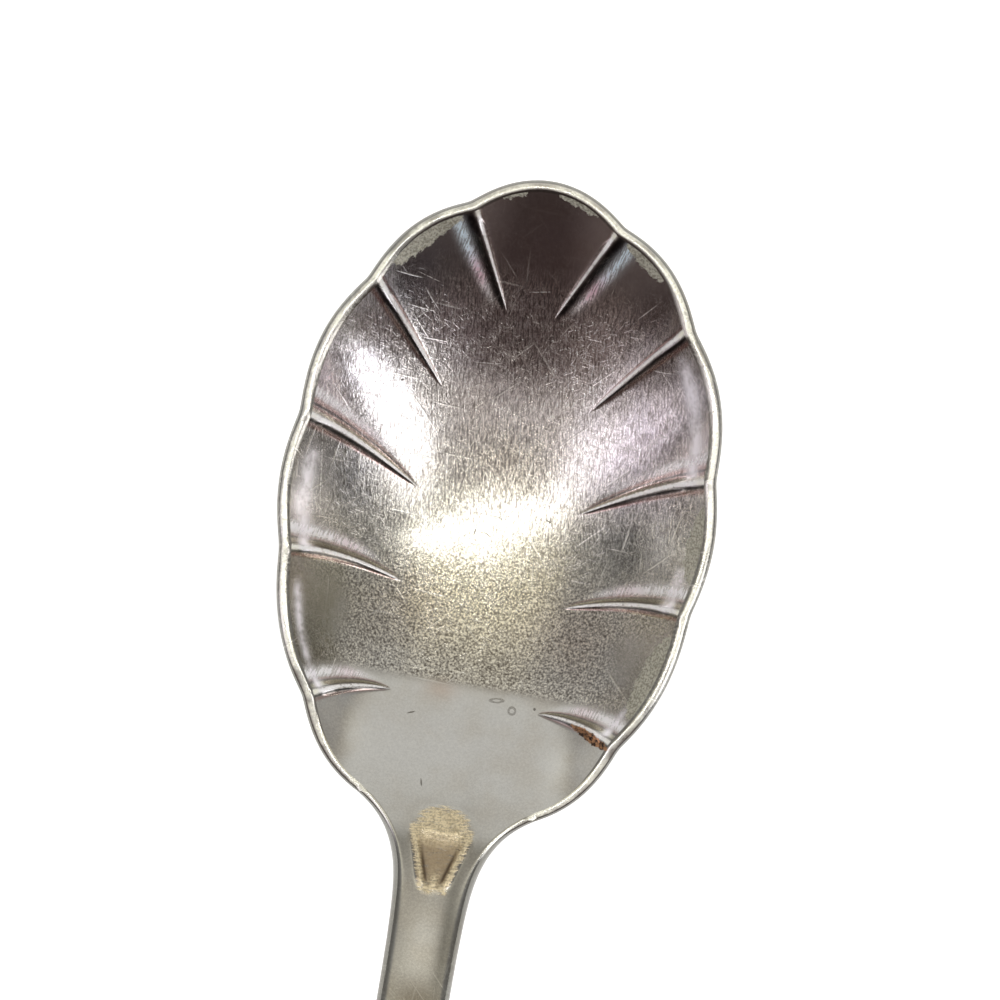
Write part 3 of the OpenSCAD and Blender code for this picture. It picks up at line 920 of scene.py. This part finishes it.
class Graph:
    """Short names for making shader nodes."""

    def __init__(self, tree):
        self.tree = tree

    def put(self, socket, value):
        if isinstance(value, bpy.types.NodeSocket):
            self.tree.links.new(value, socket)
        else:
            socket.default_value = value

    def node(self, kind, **settings):
        made = self.tree.nodes.new(kind)
        for key, value in settings.items():
            setattr(made, key, value)
        return made

    def feed(self, made, **values):
        for key, value in values.items():
            self.put(made.inputs[key], value)
        return made

    def parts(self, vector):
        made = self.node("ShaderNodeSeparateXYZ")
        self.put(made.inputs[0], vector)
        return made.outputs

    def turned(self, vector, angle):
        made = self.node("ShaderNodeVectorRotate", rotation_type="Z_AXIS")
        return self.feed(made, Vector=vector, Angle=math.radians(angle)).outputs[0]

    def math(self, kind, a, b=None, clamp=False):
        made = self.node("ShaderNodeMath", operation=kind, use_clamp=clamp)
        self.put(made.inputs[0], a)
        if b is not None:
            self.put(made.inputs[1], b)
        return made.outputs[0]

    def plus(self, a, b):
        return self.math("ADD", a, b)

    def minus(self, a, b):
        return self.math("SUBTRACT", a, b)

    def times(self, a, b):
        return self.math("MULTIPLY", a, b)

    def most(self, a, b):
        return self.math("MAXIMUM", a, b)

    def vector(self, kind, a, b):
        made = self.node("ShaderNodeVectorMath", operation=kind)
        self.put(made.inputs[0], a)
        self.put(made.inputs[1], b)
        return made.outputs["Value" if kind == "DOT_PRODUCT" else "Vector"]

    def span(self, value, low, high, to_low=0.0, to_high=1.0, smooth=True):
        made = self.node("ShaderNodeMapRange")
        made.interpolation_type = "SMOOTHSTEP" if smooth else "LINEAR"
        for item, key in zip(
            (value, low, high, to_low, to_high),
            ("Value", "From Min", "From Max", "To Min", "To Max"),
        ):
            self.put(made.inputs[key], item)
        return made.outputs["Result"]

    def blend(self, share, a, b):
        made = self.node("ShaderNodeMix", data_type="RGBA", blend_type="MIX")
        self.put(made.inputs["Factor"], share)
        self.put(made.inputs[6], a)
        self.put(made.inputs[7], b)
        return made.outputs[2]


def fresh_graph(owner):
    """The emptied node tree of a material or world."""
    owner.use_nodes = True
    owner.node_tree.nodes.clear()
    return Graph(owner.node_tree)


# The light: a quiet room with two windows, a narrow skylight and a dark side behind the handle

world = bpy.data.worlds.new("studio")
bpy.context.scene.world = world
g = fresh_graph(world)
dx, dy, dz = g.parts(g.node("ShaderNodeTexCoord").outputs["Generated"])
# Directions laid out flat: degrees away from straight up, towards +X and towards +Y
flat_length = g.math("SQRT", g.minus(1.0, g.times(dz, dz)))
degrees_up = g.times(g.math("ARCCOSINE", g.times(dz, 0.99999)), 180 / math.pi)
reach = g.math("DIVIDE", degrees_up, g.most(flat_length, 0.001))
map_x = g.times(dx, reach)
map_y = g.times(dy, reach)


def soft_box(middle, half_long, half_wide, turn, blur):
    """Share of a soft oval light: its middle, half sizes and turn, in degrees from straight up."""
    c, s = heading(turn)
    away_x = g.minus(map_x, middle[0])
    away_y = g.minus(map_y, middle[1])
    long = g.plus(g.times(away_x, c), g.times(away_y, s))
    wide = g.minus(g.times(away_y, c), g.times(away_x, s))
    long = g.math("POWER", g.math("ABSOLUTE", g.math("DIVIDE", long, half_long)), 2.0)
    wide = g.math("POWER", g.math("ABSOLUTE", g.math("DIVIDE", wide, half_wide)), 2.0)
    away = g.math("SQRT", g.plus(long, wide))
    return g.span(away, 1 + blur, max(0.0, 1 - blur))


LEVEL = 1.7
SOFT_BOXES = (
    # name, middle, half length, half width, turn, blur, colour
    ("dark corner behind the handle", (3, -56), 36, 26, 0, 0.6, (0.04, 0.030, 0.029)),
    ("right window", (60, -15.5), 27, 9.5, -26, 0.42, (2.1, 2.08, 2.15)),
    ("glow round the left window", (-64, -22), 24, 13, 18, 0.5, (0.56, 0.52, 0.56)),
    ("left window", (-42, -14), 20, 8, 22, 0.6, (1.15, 1.10, 1.2)),
    ("narrow skylight", (5, 2.0), 42, 1.5, 9, 0.3, (6.0, 6.0, 5.9)),
)


def lit(*colour):
    return (*(part * LEVEL for part in colour), 1)


# The quiet room: mid grey behind the handle, warmer ahead, darker low down on both sides
light = g.blend(g.span(map_y, -8, 12), lit(0.36, 0.345, 0.345), lit(0.54, 0.52, 0.45))
light = g.blend(g.span(map_y, 16, 34), light, lit(0.31, 0.295, 0.265))
side_reach = g.times(g.span(g.math("ABSOLUTE", map_x), 26, 50), g.span(map_y, 46, 34))
light = g.blend(side_reach, light, lit(0.25, 0.245, 0.24))
light = g.blend(g.span(map_y, 38, 50), light, lit(0.50, 0.495, 0.475))
# The dark side of the room, behind the handle
gloom = g.span(g.plus(map_y, g.times(g.math("ABSOLUTE", map_x), 0.10)), -23, -33)
light = g.blend(gloom, light, lit(0.10, 0.080, 0.078))
for _, *box, colour in SOFT_BOXES:
    light = g.blend(soft_box(*box), light, lit(*colour))
# A pale band low down all round, as the table and the walls are pale
light = g.blend(g.span(degrees_up, 86, 104), light, lit(0.55, 0.55, 0.54))
seen = g.node("ShaderNodeLightPath").outputs["Is Camera Ray"]
background = g.node("ShaderNodeBackground")
g.feed(background, Color=g.blend(seen, light, (1, 1, 1, 1)), Strength=1.0)
g.feed(g.node("ShaderNodeOutputWorld"), Surface=background.outputs[0])


def scratches(g, angle, long, wide, size, seed, curl):
    """Straight scratches in one direction, one in each cell, and how strong each of them is."""
    place = g.vector("MULTIPLY", g.turned(curl, angle), (1 / long, 1 / wide, 0.0))
    place = g.vector("ADD", place, (seed * 7.3, seed * 3.1, 0.0))
    cells = g.node("ShaderNodeTexVoronoi", voronoi_dimensions="2D", feature="F1")
    g.feed(cells, Vector=place, Scale=1.0)
    chance = g.parts(cells.outputs["Color"])
    reach = g.times(size, g.span(chance[0], 0.0, 1.0, 0.35, 1.0, smooth=False))
    return g.span(cells.outputs["Distance"], reach, g.times(reach, 0.35)), chance[1]


STREAK_ANGLES = (100, 78, 128)
LONG_ANGLES = (3, 47, 86, 101, 136)
FINE_SCRATCHES = (
    # directions, cell length, cell width, size, first seed, least chance, faintest, strongest
    ((8, 38, 66, 88, 118, 152), 2.4, 0.24, 0.26, 1, 0.15, 0.25, 1.0),
    ((22, 78, 104), 0.9, 0.20, 0.30, 11, 0.20, 0.10, 0.80),
    ((15, 58, 83, 97), 1.9, 0.15, 0.29, 31, 0.25, 0.10, 0.75),
)
BUMP_DISTANCE = 0.0000085

# Single marks on the bowl: name, x, y, half length, half width, turn
PITS = (
    ("round pit", 3.96, -15.39, 0.36, 0.36, 0),
    ("long dent", 2.6, -14.8, 0.65, 0.20, 8),
)
DARK_MARKS = (
    ("small pit", 5.74, -14.92, 0.13, 0.13, 0),
    ("shoulder nick", -4.1, -16.8, 0.40, 0.07, 20),
    ("shoulder dash", -2.3, -22.0, 0.40, 0.08, -75),
    ("first dash in the bright band", -1.5, -1.5, 0.50, 0.05, 78),
    ("second dash in the bright band", -0.4, -1.6, 0.42, 0.05, -28),
    ("third dash in the bright band", 4.4, 0.3, 0.40, 0.06, -20),
    ("dash beside the bright band", 6.9, -1.7, 0.75, 0.05, -36),
    ("speck in the left lobe", -9.4, 9.7, 0.16, 0.09, 30),
)
PALE_MARKS = (
    ("line down the fourth left lobe", -14.6, 2.2, 5.2, 0.05, 97),
    ("second line there", -9.6, 0.3, 2.6, 0.05, 96),
    ("line down the middle", 0.9, 6.4, 3.6, 0.04, 98),
    ("scratch at the upper left", -5.0, 12.6, 1.1, 0.05, -22),
    ("its other half", -2.6, 12.3, 1.6, 0.05, 6),
    ("hook under the first ridge", 0.5, 18.6, 1.2, 0.04, 10),
    ("scratch in the second left lobe", -8.6, 18.2, 1.4, 0.04, -14),
    ("nick in the tip", 2.2, 14.9, 0.22, 0.12, 0),
)


def plate_material(name):
    material = bpy.data.materials.new(name)
    g = fresh_graph(material)
    times, plus, minus, most, span, blend = g.times, g.plus, g.minus, g.most, g.span, g.blend
    plan = g.vector("MULTIPLY", g.node("ShaderNodeTexCoord").outputs["Object"], (1 / MM, 1 / MM, 1 / MM))

    def trait(key):
        made = g.node("ShaderNodeAttribute", attribute_name=key)
        return made.outputs["Color" if key == "tone_and_painted_light" else "Fac"]

    def noise(scale, detail, rough=0.5, vector=plan, kind="Fac"):
        made = g.node("ShaderNodeTexNoise", noise_dimensions="3D")
        g.feed(made, Vector=vector, Scale=scale, Detail=detail, Roughness=rough)
        return made.outputs[kind]

    drift = g.vector("SUBTRACT", noise(0.22, 1.0, kind="Color"), (0.5, 0.5, 0.5))
    curl = g.vector("ADD", plan, g.vector("MULTIPLY", drift, (0.3, 0.3, 0.0)))
    lines, marks = 0.0, 0.0
    for angles, long, wide, size, seed, low, weak, strong in FINE_SCRATCHES:
        for i, angle in enumerate(angles):
            mask, chance = scratches(g, angle, long, wide, size, seed + i, curl)
            mask = times(mask, span(chance, low, 1.0, weak, strong, smooth=False))
            lines = most(lines, mask)
    for i, angle in enumerate(LONG_ANGLES):
        mask, _ = scratches(g, angle, 26.0, 1.3, 0.085, i + 20, curl)
        marks = most(marks, mask)
    density = trait("scratch")
    patch = span(noise(0.55, 2.0), 0.32, 0.62, 0.35, 1.0)
    patch = times(span(density, 0.0, 1.0, 0.12, 1.0, smooth=False), patch)
    lines = times(lines, patch)
    marks = times(marks, span(density, 0.0, 0.5, 0.0, 0.9))
    scored = most(lines, marks)

    grain = noise(5.6, 2.0, 0.62)

    def streaks(angle, seed):
        """Noise drawn out along one direction, as wiping and stirring leave it."""
        along = g.vector("MULTIPLY", g.turned(curl, -angle), (0.16, 1.0, 0.0))
        along = g.vector("ADD", along, (seed * 5.1, seed * 9.7, 0.0))
        return noise(6.8, 2.0, 0.6, along)

    first, second, third = (streaks(angle, i + 1) for i, angle in enumerate(STREAK_ANGLES))
    bright = most(span(first, 0.53, 0.66), span(second, 0.56, 0.69))
    bright = most(bright, span(third, 0.57, 0.70))
    dull = most(span(first, 0.47, 0.36), span(second, 0.44, 0.33))
    place_y = g.parts(plan)[1]
    front = span(place_y, -8.0, 1.0)
    front_half = times(front, 0.85)
    bright = times(bright, front_half)
    dull = times(dull, front_half)
    round_share = minus(1.0, times(front, 0.65))
    bright = most(bright, times(round_share, span(grain, 0.5, 0.62)))
    dull = most(dull, times(round_share, span(grain, 0.48, 0.37)))
    cloud = noise(0.28, 3.0, 0.55)
    tone_and_painted_light = trait("tone_and_painted_light")
    colour = g.vector("MULTIPLY", tone_and_painted_light, (0.53, 0.53, 0.53))
    warm = g.vector("MULTIPLY", tone_and_painted_light, (0.43, 0.40, 0.355))
    colour = blend(span(cloud, 0.35, 0.7, 0.0, 0.4), colour, warm)
    speck = span(density, 0.2, 0.7, 0.08, 1.0)
    pale = g.vector("MULTIPLY", tone_and_painted_light, (1.04, 1.03, 0.98))
    colour = blend(times(speck, times(bright, 0.85)), colour, pale)
    deep = g.vector("MULTIPLY", tone_and_painted_light, (0.12, 0.10, 0.083))
    colour = blend(times(speck, times(dull, 0.85)), colour, deep)
    colour = blend(times(scored, 0.45), colour, (0.84, 0.82, 0.75, 1))
    ragged = times(minus(noise(1.5, 5.0, 0.75), 0.5), 2.2)
    rubbed = streaks(4, 5)
    frayed = plus(times(ragged, 0.55), span(rubbed, 0.3, 0.7, -0.35, 0.35))
    gold = span(plus(trait("gold"), frayed), 0.12, 0.95)
    gold = times(gold, span(trait("gold"), 0.02, 0.55))
    sandy = plus(times(rubbed, 0.4), times(grain, 0.6))
    gold_colour = blend(span(sandy, 0.4, 0.6), (0.42, 0.35, 0.225, 1), (0.78, 0.67, 0.45, 1))
    gold_colour = blend(times(trait("hollow"), 0.8), gold_colour, (0.29, 0.215, 0.135, 1))
    # Painted shade in the crease
    gold_colour = blend(times(trait("crease"), 0.95), gold_colour, (0.085, 0.055, 0.03, 1))
    colour = blend(gold, colour, gold_colour)
    streak = span(noise(2.6, 3.0, 0.65), 0.25, 0.55, 0.5, 1.0)
    # Painted highlights on the crests, painted shade in the dark lines beside them, and a painted sheen on
    # the satin bands
    crest_highlight = times(trait("light"), streak)
    groove_shade = times(trait("dark"), span(streak, 0.5, 1.0, 0.8, 1.0))
    blush = times(trait("blush"), streak)
    foot = times(trait("foot"), streak)
    combed = most(span(second, 0.40, 0.56, 0.55, 1.0), span(cloud, 0.45, 0.65, 0.4, 1.0))
    satin_and_sheen = times(trait("satin_and_sheen"), combed)
    blue_end = span(place_y, 17.0, 21.0)
    colour = blend(times(trait("olive"), 0.8), colour, (0.60, 0.58, 0.47, 1))
    colour = blend(times(blush, 0.75), colour, (0.37, 0.21, 0.18, 1))
    colour = blend(times(groove_shade, 0.96), colour, (0.024, 0.02, 0.019, 1))
    satin_and_sheen_colour = blend(blue_end, (0.97, 0.97, 1.0, 1), (0.70, 0.84, 0.94, 1))
    satin_and_sheen_colour = blend(times(foot, 0.85), satin_and_sheen_colour, (0.74, 0.42, 0.52, 1))
    colour = blend(times(satin_and_sheen, 0.95), colour, satin_and_sheen_colour)
    # Painted highlights: bright strips just inside the rim
    strip = times(trait("strip"), span(noise(0.8, 3.0, 0.6), 0.3, 0.6, 0.5, 1.0))
    colour = blend(strip, colour, (0.97, 0.94, 1.0, 1))
    colour = blend(crest_highlight, colour, (0.98, 0.97, 0.98, 1))
    scrape = span(plus(trait("scrape"), times(ragged, 0.55)), 0.46, 0.54)
    scrape_colour = blend(span(grain, 0.4, 0.6), (0.27, 0.26, 0.21, 1), (0.55, 0.54, 0.46, 1))
    colour = blend(scrape, colour, scrape_colour)
    # Pale rim: worn plate and a painted highlight
    worn_rim_and_highlight = times(trait("rim"), span(noise(0.9, 4.0, 0.65), 0.35, 0.6, 0.5, 1.0))
    worn_rim_and_highlight = times(worn_rim_and_highlight, span(noise(0.30, 1.0), 0.38, 0.56, 0.42, 1.0))
    colour = blend(worn_rim_and_highlight, colour, (0.97, 0.96, 0.84, 1))
    copper = plus(trait("copper"), times(ragged, 1.3))
    copper = times(span(copper, 0.45, 0.6), span(trait("copper"), 0.05, 0.2))
    crust = span(noise(2.4, 4.0, 0.75), 0.42, 0.58)
    copper_colour = blend(crust, (0.035, 0.022, 0.016, 1), (0.55, 0.29, 0.15, 1))
    colour = blend(copper, colour, copper_colour)

    def oval(x, y, half_long, half_wide, turn):
        """Distance from the middle of a mark, which is 1 on its edge."""
        c, s = heading(turn)
        away = g.vector("SUBTRACT", plan, (x, y, 0.0))
        long = g.vector("DOT_PRODUCT", away, (c / half_long, s / half_long, 0.0))
        wide = g.vector("DOT_PRODUCT", away, (-s / half_wide, c / half_wide, 0.0))
        return g.math("SQRT", plus(times(long, long), times(wide, wide)))

    top = trait("top")
    dark_marks, pale_marks = 0.0, 0.0
    for _, *mark in PITS:
        away = minus(oval(*mark), 0.75)
        ring = span(g.math("ABSOLUTE", away), 0.35, 0.12)
        dark_marks = most(dark_marks, times(ring, 0.6))
    for _, *mark in DARK_MARKS:
        dark_marks = most(dark_marks, span(oval(*mark), 1.0, 0.5))
    for _, *mark in PALE_MARKS:
        pale_marks = most(pale_marks, span(oval(*mark), 1.0, 0.5))
    dark_marks = times(dark_marks, top)
    pale_marks = times(pale_marks, times(top, span(grain, 0.35, 0.55)))
    colour = blend(times(dark_marks, 0.8), colour, (0.07, 0.06, 0.045, 1))
    colour = blend(times(pale_marks, 0.7), colour, (0.9, 0.88, 0.84, 1))

    rough = span(density, 0.0, 1.0, 0.10, 0.12, smooth=False)
    matt = 0.0
    for mask, rougher, duller in (
        # What each kind of wear and painted light adds to the roughness, and how much of the mirror it
        # takes
        (scored, 0.10, 0.15),
        (gold, 0.24, 0.60),
        (worn_rim_and_highlight, 0.15, 0.85),
        (crest_highlight, 0.28, 0.88),
        (scrape, 0.30, 0.75),
        (satin_and_sheen, 0.22, 0.85),
        (strip, 0.0, 0.65),
        (pale_marks, 0.0, 0.40),
        (copper, 0.0, 0.40),
        (dark_marks, 0.0, 0.85),
    ):
        rough = plus(rough, times(mask, rougher))
        matt = most(matt, times(mask, duller))
    rough = g.math("ADD", rough, span(grain, 0.3, 0.7, -0.02, 0.05), clamp=True)
    mirror = g.math("SUBTRACT", 1.0, matt, clamp=True)

    height = times(scored, -1.0)
    height = plus(height, times(times(grain, gold), 1.6))
    height = plus(height, times(times(grain, speck), 0.25))
    height = minus(height, times(dark_marks, 1.5))
    bump = g.feed(g.node("ShaderNodeBump"), Strength=1.0, Distance=BUMP_DISTANCE, Height=height)
    shader = g.node("ShaderNodeBsdfPrincipled")
    g.put(shader.inputs["Base Color"], colour)
    g.feed(shader, Metallic=mirror, Roughness=rough, Normal=bump.outputs[0])
    g.feed(g.node("ShaderNodeOutputMaterial"), Surface=shader.outputs[0])
    return material


silver = plate_material("silver_plate_old")
worn = plate_material("silver_plate_worn_through")
for piece, material in ((bowl, silver), (neck, worn), (stem, silver), (handle, silver)):
    piece.data.materials.append(material)


# Floor, camera and colour

FLOOR_HALF = 3.0
FLOOR_GLOW = 0.62


def floor_plane():
    half = FLOOR_HALF
    corners = [(-half, -half, 0), (half, -half, 0), (half, half, 0), (-half, half, 0)]
    mesh = bpy.data.meshes.new("floor")
    mesh.from_pydata(corners, [], [(0, 1, 2, 3)])
    floor = bpy.data.objects.new("floor", mesh)
    bpy.context.scene.collection.objects.link(floor)
    material = bpy.data.materials.new("floor")
    g = fresh_graph(material)
    matt = g.feed(g.node("ShaderNodeBsdfDiffuse"), Color=(0.9, 0.9, 0.9, 1))
    # The metal mirrors the same white floor that the camera sees
    path = g.node("ShaderNodeLightPath").outputs
    seen = g.most(path["Is Glossy Ray"], path["Is Transmission Ray"])
    seen = g.most(path["Is Camera Ray"], seen)
    glow = g.node("ShaderNodeEmission")
    g.feed(glow, Color=(1, 1, 1, 1), Strength=g.times(seen, FLOOR_GLOW))
    both = g.node("ShaderNodeAddShader")
    g.put(both.inputs[0], matt.outputs[0])
    g.put(both.inputs[1], glow.outputs[0])
    g.feed(g.node("ShaderNodeOutputMaterial"), Surface=both.outputs[0])
    mesh.materials.append(material)


SENSOR = 36
CAMERA_RISE = 0.3
FRAME_WIDTH = 0.08
RIM_LEVEL = 0.0100
ROLL = 9.75
AIM = (0.0001, 0.0014)


def make_camera():
    data = bpy.data.cameras.new("camera")
    camera = bpy.data.objects.new("camera", data)
    bpy.context.scene.collection.objects.link(camera)
    data.sensor_width = SENSOR
    data.lens = SENSOR * CAMERA_RISE / FRAME_WIDTH
    data.clip_start = 0.01
    data.clip_end = 20
    camera.location = (AIM[0], AIM[1], RIM_LEVEL + CAMERA_RISE)
    camera.rotation_euler = (0, 0, math.radians(ROLL))
    bpy.context.scene.camera = camera


floor_plane()
make_camera()
bpy.context.scene.view_settings.view_transform = "Standard"
